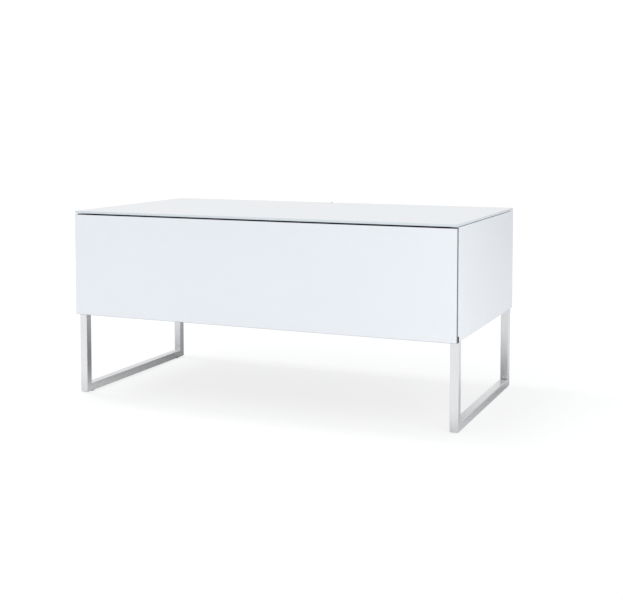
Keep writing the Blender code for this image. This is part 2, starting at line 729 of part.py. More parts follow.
def make_leaves():
    """The rolled hinge leaves under the lower edge of the flap board."""
    axis = (AXIS_Y, AXIS_Z)
    outline = arc(axis, KNUCKLE_RADIUS, 90, LEAF_ROLL, ROUND_STEPS)
    outline += [(BOARD_REAR, LEAF_TOP - LEAF_THICK), (BOARD_REAR, LEAF_TOP)]
    made = []
    for side, sign in SIDES:
        outer = BOARD_END - LEAF_END_GAP
        inner = outer - LEAF_LENGTH
        leaf = prism(f"hinge_leaf_{side}", "X", outline, spread(sign, inner, outer), BLACK_STEEL)
        for x in leaf_pegs(sign):
            join(leaf, peg("Z", (x, (BOARD_FRONT + BOARD_REAR) / 2), LEAF_TOP, 1))
        bore = spread(sign, inner - OVERLAP, outer + OVERLAP)
        cut(leaf, rod("pin_bore", "X", axis, bore, PIN_RADIUS + TURN, BLACK_STEEL))
        made.append(leaf)
    return made


def make_dampers():
    """The round damper housings on the inner faces of the sides."""
    y, z = DAMPER_AXIS
    low = (y - DAMPER_BASE_WIDTH / 2, z - DAMPER_BASE_LENGTH / 2)
    high = (y + DAMPER_BASE_WIDTH / 2, z + DAMPER_BASE_LENGTH / 2)
    base = rounded_box(low, high, DAMPER_BASE_WIDTH / 4)
    for side, sign in SIDES:
        stretch = spread(sign, DAMPER_OUT - DAMPER_BASE_THICK, DAMPER_OUT)
        damper = prism(f"damper_{side}", "X", base, stretch, BLACK_PLASTIC)
        drum = spread(sign, DAMPER_IN, DAMPER_OUT - DAMPER_BASE_THICK / 2)
        join(damper, rod("drum", "X", DAMPER_AXIS, drum, DAMPER_RADIUS, BLACK_PLASTIC))
        for peg_z in damper_pegs():
            join(damper, peg("X", (y, peg_z), sign * DAMPER_OUT, sign))
        bore = spread(sign, DAMPER_IN - OVERLAP, ARM_OUT + SHAFT_LENGTH + FIT)
        cut(damper, rod("shaft_bore", "X", DAMPER_AXIS, bore, SHAFT_RADIUS + TURN, BLACK_PLASTIC))


def make_arm(side, sign):
    """The damper arm, with its shaft towards the housing and an eye for the link's pin."""
    outline = bar_outline(DAMPER_AXIS, ELBOW, HUB_RADIUS, STAY_WIDTH / 2)
    arm = prism(f"stay_arm_{side}", "X", outline, spread(sign, ARM_IN, ARM_OUT), ZINC_STEEL)
    shaft = spread(sign, ARM_IN + STAY_BAR / 2, ARM_OUT + SHAFT_LENGTH)
    join(arm, rod("shaft", "X", DAMPER_AXIS, shaft, SHAFT_RADIUS, ZINC_STEEL))
    eye = spread(sign, ARM_IN - OVERLAP, ARM_OUT + OVERLAP)
    return cut(arm, rod("eye", "X", ELBOW, eye, STAY_PIN_RADIUS + TURN, ZINC_STEEL))


def make_link(side, sign):
    """The link from the arm to the flap, with a pin in the arm and an eye round the bracket's pin."""
    outline = bar_outline(ELBOW, FLAP_PIVOT, STAY_WIDTH / 2, STAY_WIDTH / 2)
    link = prism(f"stay_link_{side}", "X", outline, spread(sign, LINK_IN, LINK_OUT), ZINC_STEEL)
    pin = spread(sign, LINK_OUT - STAY_BAR / 2, ARM_OUT)
    join(link, rod("pin", "X", ELBOW, pin, STAY_PIN_RADIUS, ZINC_STEEL))
    eye = spread(sign, LINK_IN - OVERLAP, LINK_OUT + OVERLAP)
    return cut(link, rod("eye", "X", FLAP_PIVOT, eye, STAY_PIN_RADIUS + TURN, ZINC_STEEL))


def bracket_pegs(sign):
    middle = (ARM_IN + ARM_OUT) / 2 - BRACKET_LENGTH / 4
    return (sign * (middle - BRACKET_PEG_SPACING / 2), sign * (middle + BRACKET_PEG_SPACING / 2))


def make_brackets():
    """The brackets on the back of the flap board: a base, a cheek and the pin for the link."""
    y, z = FLAP_PIVOT
    seat = BOARD_REAR + FIT
    base_y = (seat, seat + BRACKET_THICK)
    base_z = (z - BRACKET_HEIGHT / 2, z + BRACKET_HEIGHT / 2)
    middle = (ARM_IN + ARM_OUT) / 2 - BRACKET_LENGTH / 4
    root = seat + BRACKET_THICK / 2
    nose = arc(FLAP_PIVOT, STAY_WIDTH / 2, -NOSE_ANGLE, NOSE_ANGLE, CORNER_STEPS)
    cheek = [(root, base_z[0]), *nose, (root, base_z[1])]
    made = []
    for side, sign in SIDES:
        x = spread(sign, middle - BRACKET_LENGTH / 2, middle + BRACKET_LENGTH / 2)
        bracket = box(f"stay_bracket_{side}", x, base_y, base_z, BLACK_STEEL, FITTING_EDGE)
        join(bracket, prism("cheek", "X", cheek, spread(sign, ARM_IN, ARM_OUT), BLACK_STEEL))
        pin = spread(sign, LINK_IN, ARM_IN + STAY_BAR / 2)
        join(bracket, rod("pin", "X", FLAP_PIVOT, pin, STAY_PIN_RADIUS, BLACK_STEEL))
        for peg_x in bracket_pegs(sign):
            join(bracket, peg("Y", (peg_x, z), seat, -1))
        made.append(bracket)
    return made


def make_strike():
    half = STRIKE_SIDE / 2
    seat = BOARD_REAR + FIT
    height = (LATCH_Z - half, LATCH_Z + half)
    strike = box("latch_strike", (-half, half), (seat, STRIKE_REAR), height, ZINC_STEEL)
    return join(strike, peg("Y", (0, LATCH_Z), seat, -1))


def make_latch():
    half = LATCH_WIDTH / 2
    depth = (LATCH_FRONT, LATCH_FRONT + LATCH_LENGTH)
    height = (LATCH_Z - LATCH_HEIGHT / 2, LATCH_Z + LATCH_HEIGHT / 2)
    body = box("latch_body", (-half, half), depth, height, BLACK_PLASTIC, FITTING_EDGE)
    for y in latch_pegs():
        join(body, peg("Z", (0, y), height[1], 1))
    tip = STRIKE_REAR + FIT
    tail = tip + PLUNGER_LENGTH
    bore = (LATCH_FRONT - OVERLAP, tail + PLUNGER_TRAVEL + FIT)
    cut(body, rod("plunger_bore", "Y", (0, LATCH_Z), bore, PLUNGER_RADIUS + TURN, BLACK_PLASTIC))
    plunger = rod("latch_plunger", "Y", (0, LATCH_Z), (tip, tail), PLUNGER_RADIUS, ZINC_STEEL)
    edge(plunger, FITTING_EDGE)
    hang("latch_axis", (0, tip, LATCH_Z), [plunger])


def make_moving_pieces():
    flap = make_flap() + make_leaves() + make_brackets() + [make_strike()]
    hang("flap_axis", (0, AXIS_Y, AXIS_Z), flap)
    for side, sign in SIDES:
        x = sign * (ARM_IN + ARM_OUT) / 2
        arm_axis = hang(f"arm_axis_{side}", (x, *DAMPER_AXIS), [make_arm(side, sign)])
        hang(f"link_axis_{side}", (x, *ELBOW), [make_link(side, sign)], arm_axis)


clear_scene()
PARTS = new_collection("television stand")
TOOLS = new_collection("cutters")
WHITE_GLASS = new_material("white back-painted glass", (0.86, 0.88, 0.90), 0.05)
WHITE_LACQUER = new_material("white gloss lacquer", (0.84, 0.86, 0.88), 0.12)
BLACK_BOARD = new_material("black laminate", (0.02, 0.02, 0.022), 0.5)
BLACK_PLASTIC = new_material("black plastic", (0.015, 0.015, 0.016), 0.45)
BLACK_RUBBER = new_material("black rubber", (0.02, 0.02, 0.02), 0.8)
CLEAR_RUBBER = new_material("clear silicone", (0.75, 0.77, 0.78), 0.5)
BLACK_STEEL = new_material("black coated steel", (0.02, 0.02, 0.02), 0.4, 0.6)
ZINC_STEEL = new_material("zinc-plated steel", (0.60, 0.61, 0.63), 0.3, 1.0)
STEEL = new_material("brushed stainless steel", (0.62, 0.62, 0.62), 0.28, 1.0)

make_glass_top()
make_notch_lining()
make_pads()
make_side_panels()
make_panels()
make_divider()
make_outlet_rings()
make_screws()
make_legs()
make_glides()
make_bumpers()
make_hinge_blocks()
make_dampers()
make_latch()
make_moving_pieces()
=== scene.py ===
"""Looks of a white television stand with a glass top, a drop-down glass flap and sled legs."""

import json
import math

import bmesh
import bpy
from bpy.props import FloatProperty, FloatVectorProperty, PointerProperty
from mathutils import Matrix, Vector


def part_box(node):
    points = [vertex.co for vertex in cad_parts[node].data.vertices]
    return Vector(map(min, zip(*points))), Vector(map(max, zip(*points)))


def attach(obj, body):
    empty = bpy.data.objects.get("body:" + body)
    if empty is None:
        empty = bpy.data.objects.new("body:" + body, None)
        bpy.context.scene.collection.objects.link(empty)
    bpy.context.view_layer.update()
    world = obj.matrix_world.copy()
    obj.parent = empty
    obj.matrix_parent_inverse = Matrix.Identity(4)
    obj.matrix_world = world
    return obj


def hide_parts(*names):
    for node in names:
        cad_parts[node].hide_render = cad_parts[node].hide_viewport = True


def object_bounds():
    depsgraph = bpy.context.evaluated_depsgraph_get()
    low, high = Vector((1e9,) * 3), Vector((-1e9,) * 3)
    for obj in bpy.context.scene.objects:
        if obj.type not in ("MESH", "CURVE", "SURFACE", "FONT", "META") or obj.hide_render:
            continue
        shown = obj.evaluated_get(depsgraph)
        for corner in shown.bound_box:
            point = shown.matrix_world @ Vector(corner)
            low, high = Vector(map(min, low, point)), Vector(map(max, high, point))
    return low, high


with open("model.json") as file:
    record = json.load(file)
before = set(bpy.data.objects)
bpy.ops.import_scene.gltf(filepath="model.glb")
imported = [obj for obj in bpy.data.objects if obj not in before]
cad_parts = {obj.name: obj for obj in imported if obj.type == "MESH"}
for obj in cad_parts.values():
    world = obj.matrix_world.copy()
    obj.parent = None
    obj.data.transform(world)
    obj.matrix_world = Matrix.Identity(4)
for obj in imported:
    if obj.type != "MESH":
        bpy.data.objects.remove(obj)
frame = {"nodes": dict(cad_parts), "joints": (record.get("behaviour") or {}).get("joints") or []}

bl_info = {
    "name": "Glass Television Stand",
    "version": (1, 0, 0),
    "blender": (4, 5, 0),
    "location": "3D View > Sidebar > TV Stand",
    "description": "Finishes, fine pieces and a studio stage for a glass television stand",
    "category": "Object",
}

CAD_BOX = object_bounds()
MM = 0.001
SIDES = (("left", -1), ("right", 1))
GAP = 0.05 * MM  # between a fine piece and the part it sits on
FIT = 0.3 * MM  # between a fitting and the board that holds it
FACE_ON = 0.9  # a normal this close to a direction belongs to the face that looks that way

TUBE = 20 * MM  # side of the square tube of the legs
PLATE_LENGTH = 44 * MM  # mounting plate of a leg, along the bead that holds it
PLATE_THICK = 4 * MM
BEAD_STOP = 4 * MM  # bare length at each end of a bead
BEAD_SEAT = (0.4, 0.5)  # a bead's centre line, inward of the tube and below the plate, in its radii
BEAD_SWELL = 0.18  # share of a bead's radius that its ripples take up
BEAD_RAMP = 6  # times its radius that a bead thickens by over its length, from each tip
BEAD_TIP = 0.3  # share of its radius that a bead has at its tips
BEAD_RINGS = 4  # rings drawn to a ripple
RIVET_RIM = 0.25  # upright rim of a rivet head, as a share of its height
RIVET_FOOT = 0.97  # radius of its foot, as a share of its radius
# A pan head's outline as shares of its radius and height, from the middle of the top to the seat
PAN_HEAD = ((0, 1), (0.45, 0.97), (0.75, 0.82), (0.93, 0.52), (1, 0.2), (0.98, 0))
RECESS = (0.55, 0.2, 0.55)  # a cross's reach and blade in the head's radius, depth in its height
RECESS_TIP = 0.35  # reach at the bottom of a recess, as a share of that at the top
SCREWS = (
    # kind, axis it lies along, turn of its head about X, end of its box with the head, and height
    # of the head and radius of the shank as shares of the head's radius
    ("leg_screw", 2, math.pi, 0, 0.6, 0.48),
    ("back_screw", 1, -math.pi / 2, 1, 0.53, 0.45),
)
DAMPER_BASE = 3 * MM  # thickness of the plate under a damper, with a screw at each end
DAMPER_SCREWS = 46 * MM  # from one of those screws to the other
BRACKET_BASE = 2.5 * MM
BRACKET_SCREWS = 16 * MM
BRACKET_INSET = 9 * MM  # screws of a bracket, from its middle towards the middle of the flap
FIXING_DEPTH = 2 * MM  # length of a fixing screw below its head that is drawn
FIXING_SHARES = (0.65, 0.5)  # its head's height and its shank's radius in the head's radius

# Finishes: darker and lighter shares of a colour that drifts, roughness at the low and the high end
# of a pattern, and strength and depth of a relief
GLASS_DRIFT, GLASS_ROUGH, GLASS_RELIEF = (0.985, 1.01), (0.16, 0.035), (0.25, 0.4 * MM)
LACQUER_DRIFT, LACQUER_ROUGH, LACQUER_RELIEF = (0.98, 1.01), (0.07, 0.12), (0.1, 0.05 * MM)
LAMINATE_DRIFT, LAMINATE_ROUGH, LAMINATE_RELIEF = (0.8, 1.25), (0.42, 0.55), (0.3, 0.06 * MM)
STEEL_DRIFT, STEEL_ROUGH, STEEL_RELIEF = (0.86, 1.1), (0.34, 0.2), (0.35, 0.05 * MM)
MOTTLE_DRIFT, MOTTLE_STRENGTH = (0.85, 1.15), 0.4
SEAM_SHADE = 0.55  # share of the steel's colour that a ground weld keeps

FLOOR_FADE = (0.8, 2.4)  # metres from the middle over which the floor turns to plain white
# Painted reflections: the next two ranges grade the floor that steel mirrors, glowing in front and
# painted dark behind the stand
FLOOR_TURN = (-0.5, 0.3)  # from front to back, over which the floor that steel mirrors turns dark
FLOOR_SIDE = (0.35, 0.65)  # from left to right, over which it turns pale again
FLOOR_WHITE = 1.05  # a little over white, so that no edge shows where the floor meets the backdrop
BLACK = (0, 0, 0, 1)
WHITE = (1, 1, 1, 1)
SKY_TINT = (0.97, 0.985, 1.0, 1.0)
MIRROR_TINT = (0.98, 0.99, 1.0, 1.0)
SOFT_BOXES = (
    # name, place, width, height, property with its power, and whether it lights the floor alone
    ("key_softbox", (-1.0, -1.1, 2.8), 2.1, 2.1, "key_power", False),
    ("side_softbox", (1.35, -0.7, 0.7), 0.8, 0.9, "side_power", False),
    ("floor_softbox", (-2.4, 0.4, 5.0), 4.0, 1.0, "floor_power", True),
)


def linear(code):
    """Linear colour from an sRGB hex value."""
    shares = [int(code[i : i + 2], 16) / 255 for i in (0, 2, 4)]
    return tuple(s / 12.92 if s <= 0.04045 else ((s + 0.055) / 1.055) ** 2.4 for s in shares)


def add(tree, kind, inputs, **settings):
    """Adds a node with its settings. An input takes a plain value or the socket it is linked to."""
    node = tree.nodes.new(kind)
    for name, value in settings.items():
        setattr(node, name, value)
    for name, value in inputs.items():
        if isinstance(value, bpy.types.NodeSocket):
            tree.links.new(value, node.inputs[name])
        else:
            node.inputs[name].default_value = value
    return node


def new_finish(name):
    """An empty material. Returns it with its node tree and the coordinates of the surface."""
    material = bpy.data.materials.new(name)
    material.use_nodes = True
    tree = material.node_tree
    tree.nodes.clear()
    return material, tree, add(tree, "ShaderNodeTexCoord", {})


def end_finish(tree, colour, gloss, relief, inputs):
    """Ends a material with its Principled shader. The gloss is a pattern with the roughness at its
    low and high end, and the relief is a pattern with its strength and depth."""
    pattern, low, high = gloss
    rough = add(tree, "ShaderNodeMapRange", {"Value": pattern, "To Min": low, "To Max": high})
    height, strength, depth = relief
    bump = add(tree, "ShaderNodeBump", {"Height": height, "Strength": strength, "Distance": depth})
    surface = {"Base Color": colour, "Roughness": rough.outputs[0], "Normal": bump.outputs[0]}
    shader = add(tree, "ShaderNodeBsdfPrincipled", {**surface, **inputs})
    add(tree, "ShaderNodeOutputMaterial", {"Surface": shader.outputs[0]})


def shades(colour, shares):
    """Shares of one linear colour, as RGBA, for a pattern to run between."""
    return [(*(min(1.0, c * share) for c in colour), 1.0) for share in shares]


def drift(tree, spot, size, detail, colour, shares):
    """A colour that drifts between two shares of itself over this size. Returns the sockets of the
    pattern and of the colour."""
    cloud = add(tree, "ShaderNodeTexNoise", {"Vector": spot, "Scale": 1 / size, "Detail": detail})
    pattern = cloud.outputs["Fac"]
    low, high = shades(colour, shares)
    mixed = add(tree, "ShaderNodeMix", {0: pattern, 6: low, 7: high}, data_type="RGBA")
    return pattern, mixed.outputs[2]


def dress(names, material):
    for name in names:
        mesh = frame["nodes"][name].data
        mesh.materials.clear()
        mesh.materials.append(material)


def named(*starts):
    """The CAD nodes whose names start with one of these words."""
    return [name for name in frame["nodes"] if name.startswith(starts)]


def painted_glass(look, name, across, edge_colour):
    """Toughened float glass painted white on its back: the face shows the paint under a clear, hard
    gloss with a faint roller wave. The top's edges show the colour of the glass itself; the flap's
    edges are coloured dark grey as painted shade of the gap round the flap."""
    material, tree, place = new_finish(name)
    spot, normal = place.outputs["Object"], place.outputs["Normal"]
    turned = add(tree, "ShaderNodeVectorMath", {0: normal, 1: across}, operation="DOT_PRODUCT")
    facing = add(tree, "ShaderNodeMath", {0: turned.outputs["Value"]}, operation="ABSOLUTE")
    face = add(tree, "ShaderNodeMath", {0: facing.outputs[0], 1: FACE_ON}, operation="GREATER_THAN")
    _, paint = drift(tree, spot, look.paint_cloud, 2.0, look.face_colour, GLASS_DRIFT)
    # On the flap the edge colour is painted shade for the gap round it; on the top it is the
    # glass's own tint.
    sides = {0: face.outputs[0], 6: (*edge_colour, 1.0), 7: paint}
    colour = add(tree, "ShaderNodeMix", sides, data_type="RGBA")
    waves = {"Vector": spot, "Scale": 1 / look.roller_wave, "Detail": 0.0}
    wave = add(tree, "ShaderNodeTexNoise", waves)
    gloss, relief = (face.outputs[0], *GLASS_ROUGH), (wave.outputs["Fac"], *GLASS_RELIEF)
    end_finish(tree, colour.outputs[2], gloss, relief, {"IOR": 1.52})
    return material


def gloss_lacquer(look):
    """Fibreboard sprayed with white lacquer and polished: even white, with a trace of orange peel
    that breaks the edge of a reflection. The front edges, behind the flap, are given the black of
    the laminate as painted shade for the gap beside the flap."""
    material, tree, place = new_finish("gloss_lacquer")
    spot, normal = place.outputs["Object"], place.outputs["Normal"]
    cloud, white = drift(tree, spot, look.spray_cloud, 2.0, look.lacquer_colour, LACQUER_DRIFT)
    # Painted shade: faces that look to the front take the laminate's black, so the gap beside the
    # flap reads dark.
    faced = add(tree, "ShaderNodeVectorMath", {0: normal, 1: (0, -1, 0)}, operation="DOT_PRODUCT")
    ahead = {0: faced.outputs["Value"], 1: FACE_ON}
    front = add(tree, "ShaderNodeMath", ahead, operation="GREATER_THAN")
    painted_shade_band = {0: front.outputs[0], 6: white, 7: (*look.laminate_colour, 1.0)}
    colour = add(tree, "ShaderNodeMix", painted_shade_band, data_type="RGBA")
    ripples = {"Vector": spot, "Scale": 1 / look.orange_peel, "Detail": 1.0}
    peel = add(tree, "ShaderNodeTexNoise", ripples)
    gloss, relief = (cloud, *LACQUER_ROUGH), (peel.outputs["Fac"], *LACQUER_RELIEF)
    end_finish(tree, colour.outputs[2], gloss, relief, {"IOR": 1.5})
    return material


def black_laminate(look):
    """Melamine paper pressed on fibreboard: matt black, with the fine pearl of the press plate."""
    material, tree, place = new_finish("black_laminate")
    spot = place.outputs["Object"]
    cloud, colour = drift(tree, spot, look.paper_cloud, 4.0, look.laminate_colour, LAMINATE_DRIFT)
    cells = {"Vector": spot, "Scale": 1 / look.pearl_size}
    pearl = add(tree, "ShaderNodeTexVoronoi", cells, feature="SMOOTH_F1")
    gloss, relief = (cloud, *LAMINATE_ROUGH), (pearl.outputs["Distance"], *LAMINATE_RELIEF)
    end_finish(tree, colour, gloss, relief, {"IOR": 1.5})
    return material


def brushed_stainless(look):
    """Square stainless tube, brushed along its length and mitred at the corners: a satin grey whose
    grain turns at each mitre, with the fine line of the ground weld between."""
    material, tree, place = new_finish("brushed_stainless")
    spot = place.outputs["Object"]
    low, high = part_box("leg_frame_left")
    centre, half = (low.y + high.y) / 2, (high.y - low.y) / 2
    apart = add(tree, "ShaderNodeSeparateXYZ", {0: spot})
    middle = add(tree, "ShaderNodeMath", {0: apart.outputs["Y"], 1: centre}, operation="SUBTRACT")
    away = add(tree, "ShaderNodeMath", {0: middle.outputs[0]}, operation="ABSOLUTE")
    inward = add(tree, "ShaderNodeMath", {0: half, 1: away.outputs[0]}, operation="SUBTRACT")
    upward = add(tree, "ShaderNodeMath", {0: apart.outputs["Z"], 1: low.z}, operation="SUBTRACT")
    corner = {0: upward.outputs[0], 1: inward.outputs[0]}
    mitre = add(tree, "ShaderNodeMath", corner, operation="SUBTRACT")
    upright = add(tree, "ShaderNodeMath", {0: mitre.outputs[0], 1: 0.0}, operation="GREATER_THAN")
    line = {0: mitre.outputs[0], 1: 0.0, 2: look.seam_width}
    seam = add(tree, "ShaderNodeMath", line, operation="COMPARE")
    fine, long = 1 / look.grain_width, 1 / look.grain_length
    grains = []
    for stretch in ((fine, long, fine), (fine, fine, long)):
        run = add(tree, "ShaderNodeMapping", {"Vector": spot, "Scale": stretch})
        marks = {"Vector": run.outputs[0], "Scale": 1.0, "Detail": 3.0}
        grains.append(add(tree, "ShaderNodeTexNoise", marks).outputs["Fac"])
    runs = {0: upright.outputs[0], 2: grains[0], 3: grains[1]}
    grain = add(tree, "ShaderNodeMix", runs, data_type="FLOAT")
    dark, light = shades(look.steel_colour, STEEL_DRIFT)
    brushing = {0: grain.outputs[0], 6: dark, 7: light}
    brushed = add(tree, "ShaderNodeMix", brushing, data_type="RGBA")
    [weld] = shades(look.steel_colour, [SEAM_SHADE])
    joined = {0: seam.outputs[0], 6: brushed.outputs[2], 7: weld}
    colour = add(tree, "ShaderNodeMix", joined, data_type="RGBA")
    gloss, relief = (grain.outputs[0], *STEEL_ROUGH), (grain.outputs[0], *STEEL_RELIEF)
    end_finish(tree, colour.outputs[2], gloss, relief, {"Metallic": 1.0})
    return material


def mottled(name, colour, grain, rough, depth, inputs):
    """A moulded, plated or coated surface: its colour and gloss drift a little over five grains,
    and the grains stand out of it by their depth."""
    material, tree, place = new_finish(name)
    spot = place.outputs["Object"]
    cloud, tint = drift(tree, spot, 5 * grain, 3.0, colour, MOTTLE_DRIFT)
    grit = add(tree, "ShaderNodeTexNoise", {"Vector": spot, "Scale": 1 / grain, "Detail": 2.0})
    gloss = (cloud, *(rough * share for share in MOTTLE_DRIFT))
    relief = (grit.outputs["Fac"], MOTTLE_STRENGTH, depth)
    end_finish(tree, tint, gloss, relief, inputs)
    return material


def zinc_plate(look):
    """Zinc-plated pressed steel: pale grey metal with the cloudy bloom of its passivation."""
    return mottled(
        "zinc_plated_steel", look.zinc_colour,
        grain=2 * MM, rough=0.34, depth=0.02 * MM, inputs={"Metallic": 1.0},
    )


def moulded_black(look):
    """Black acetal and ABS from a spark-eroded mould: matt, with a fine even grit. The grit is
    drawn three times coarser than its 0.2 mm, so that it shows."""
    return mottled(
        "moulded_black_plastic", look.plastic_colour,
        grain=0.6 * MM, rough=0.42, depth=0.03 * MM, inputs={"IOR": 1.49},
    )


def coated_steel(look):
    """Steel with black powder coat: satin black with a soft orange peel of about a millimetre."""
    return mottled(
        "powder_coated_steel", look.coat_colour,
        grain=1.2 * MM, rough=0.38, depth=0.05 * MM, inputs={"IOR": 1.5},
    )


def black_rubber(look):
    """Moulded black rubber: dull, faintly greyed where it has bloomed."""
    return mottled(
        "black_rubber", look.rubber_colour,
        grain=1 * MM, rough=0.75, depth=0.03 * MM, inputs={"IOR": 1.52},
    )


def clear_silicone(look):
    """Cast silicone dots: clear and soft, a little hazy at the skin."""
    return mottled(
        "clear_silicone", look.silicone_colour,
        grain=1 * MM, rough=0.3, depth=0.02 * MM, inputs={"IOR": 1.41, "Transmission Weight": 0.7},
    )


def weld_metal(look):
    """A TIG bead on stainless steel: overlapping ripples, straw-tinted by the heat."""
    return mottled(
        "weld_bead", look.weld_colour,
        grain=1.5 * MM, rough=0.3, depth=0.05 * MM, inputs={"Metallic": 1.0},
    )


def camera_rays(tree):
    """Light path node, with the socket that is 1 where the camera sees a surface, straight or
    through something clear."""
    path = add(tree, "ShaderNodeLightPath", {})
    rays = {0: path.outputs["Is Camera Ray"], 1: path.outputs["Is Transmission Ray"]}
    return path, add(tree, "ShaderNodeMath", rays, operation="MAXIMUM").outputs[0]


def seamless_paper(look):
    """White studio paper, matt and even. The camera sees a good part of it as plain white, so the
    shadow on it stays pale and its far end meets the backdrop unseen. Where steel mirrors it, the
    paper carries a painted reflection: a bright glow in front of the stand and painted shade
    behind."""
    material, tree, place = new_finish("seamless_paper")
    spot = place.outputs["Object"]
    path, seen = camera_rays(tree)
    glossy = path.outputs["Is Glossy Ray"]
    away = add(tree, "ShaderNodeVectorMath", {0: spot}, operation="LENGTH")
    apart = add(tree, "ShaderNodeSeparateXYZ", {0: spot})
    ramps = (
        (away.outputs["Value"], FLOOR_FADE, look.floor_glow, 1.0),
        (apart.outputs["Y"], FLOOR_TURN, look.floor_mirror, 0.0),
        (apart.outputs["Y"], FLOOR_TURN, 0.0, look.floor_painted_dark),
        (apart.outputs["X"], FLOOR_SIDE, 1.0, 0.0),
    )
    shares = []
    for value, (near, far), first, last in ramps:
        run = {"Value": value, "From Min": near, "From Max": far, "To Min": first, "To Max": last}
        shares.append(add(tree, "ShaderNodeMapRange", run).outputs[0])
    white, bright, dark, inner = shares
    products = []
    for pair in ((seen, white), (glossy, bright), (dark, inner)):
        product = add(tree, "ShaderNodeMath", dict(enumerate(pair)), operation="MULTIPLY")
        products.append(product.outputs[0])
    shown, mirrored, behind = products
    # Painted shade in reflections: the paper behind the stand is darkened for the rays that steel
    # and gloss send to it.
    painted_dark_share = add(tree, "ShaderNodeMath", {0: glossy, 1: behind}, operation="MULTIPLY")
    tones = {0: painted_dark_share.outputs[0], 6: (*look.floor_colour, 1.0), 7: BLACK}
    tone = add(tree, "ShaderNodeMix", tones, data_type="RGBA")
    share = add(tree, "ShaderNodeMath", {0: shown, 1: mirrored}, operation="MAXIMUM")
    paper = add(tree, "ShaderNodeBsdfDiffuse", {"Color": tone.outputs[2]})
    glow = add(tree, "ShaderNodeEmission", {"Strength": FLOOR_WHITE})
    parts = {0: share.outputs[0], 1: paper.outputs[0], 2: glow.outputs[0]}
    mixed = add(tree, "ShaderNodeMixShader", parts)
    add(tree, "ShaderNodeOutputMaterial", {"Surface": mixed.outputs[0]})
    return material


def new_piece(name, mesh, material, body, place=None):
    """Adds a piece of its own that moves with a body. One mesh may serve several pieces."""
    piece = bpy.data.objects.new(name, mesh)
    bpy.context.scene.collection.objects.link(piece)
    if not mesh.materials:
        mesh.materials.append(material)
    if place:
        piece.matrix_world = place
    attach(piece, body)
    return piece


def to_mesh(shape, name, sharp=35):
    """A mesh from a bmesh, smooth except along edges sharper than this many degrees."""
    mesh = bpy.data.meshes.new(name)
    shape.to_mesh(mesh)
    shape.free()
    mesh.shade_smooth()
    mesh.set_sharp_from_angle(angle=math.radians(sharp))
    return mesh


def turned_shape(profile, steps=28):
    """A bmesh turned about Z from (radius, height) points that start and end on the axis. No step
    of the turn falls on the corners of a cross recess, which lie at 45 degrees."""
    shape = bmesh.new()
    points = [shape.verts.new((radius, 0, height)) for radius, height in profile]
    lines = [shape.edges.new(pair) for pair in zip(points, points[1:])]
    outline = points + lines
    bmesh.ops.spin(shape, geom=outline, axis=(0, 0, 1), cent=(0, 0, 0), angle=math.tau, steps=steps)
    bmesh.ops.remove_doubles(shape, verts=shape.verts, dist=0.001 * MM)
    bmesh.ops.recalc_face_normals(shape, faces=shape.faces)
    return shape


def cross_tool(reach, blade, depth, top):
    """A cross whose arms narrow downwards, as the bit that forms a cross recess does."""
    shape = bmesh.new()
    half = blade / 2
    rings = []
    for long, height in ((reach * RECESS_TIP, top - depth), (reach, top + depth)):
        arm = ((half, -half), (long, -half), (long, half))
        turns = [Matrix.Rotation(math.pi / 2 * i, 2) for i in range(4)]
        outline = [turn @ Vector(point) for turn in turns for point in arm]
        rings.append([shape.verts.new((*point, height)) for point in outline])
    low, high = rings
    for i, corner in enumerate(low):
        after = (i + 1) % len(low)
        shape.faces.new((corner, low[after], high[after], high[i]))
    shape.faces.new(low[::-1])
    shape.faces.new(high)
    return shape


def carved(name, shape, tool, sharp=30):
    """The shape with the tool cut out of it, as a mesh, smooth as in to_mesh."""
    body = bpy.data.objects.new(name, to_mesh(shape, name))
    cutter = bpy.data.objects.new(name + "_cutter", to_mesh(tool, name + "_cutter"))
    for obj in (body, cutter):
        bpy.context.scene.collection.objects.link(obj)
    recess = body.modifiers.new("Recess", "BOOLEAN")
    recess.operation = "DIFFERENCE"
    recess.solver = "EXACT"
    recess.object = cutter
    graph = bpy.context.evaluated_depsgraph_get()
    mesh = bpy.data.meshes.new_from_object(body.evaluated_get(graph))
    for obj in (body, cutter):
        old = obj.data
        bpy.data.objects.remove(obj)
        bpy.data.meshes.remove(old)
    mesh.name = name
    mesh.set_sharp_from_angle(angle=math.radians(sharp))
    return mesh


def pan_head(radius, height, shank, length):
    """A pan-head screw with a cross recess, head up and its seat at height zero."""
    dome = [(radius * out, height * up) for out, up in PAN_HEAD]
    profile = dome + [(shank, 0), (shank, shank - length), (0, -length)]
    reach, blade, depth = RECESS
    tool = cross_tool(radius * reach, radius * blade, height * depth, height)
    return carved("pan_head_screw", turned_shape(profile), tool)


def rivet_head(radius, height, steps=8):
    """A formed rivet head: a low dome with a small upright rim, seated at height zero."""
    dome = []
    for i in range(1, steps + 1):
        angle = math.pi / 2 * (1 - i / steps)
        rise = RIVET_RIM + (1 - RIVET_RIM) * math.sin(angle)
        dome.append((radius * math.cos(angle), height * rise))
    profile = [(0, height), *dome, (radius * RIVET_FOOT, 0), (0, 0)]
    return to_mesh(turned_shape(profile), "rivet_head", sharp=60)


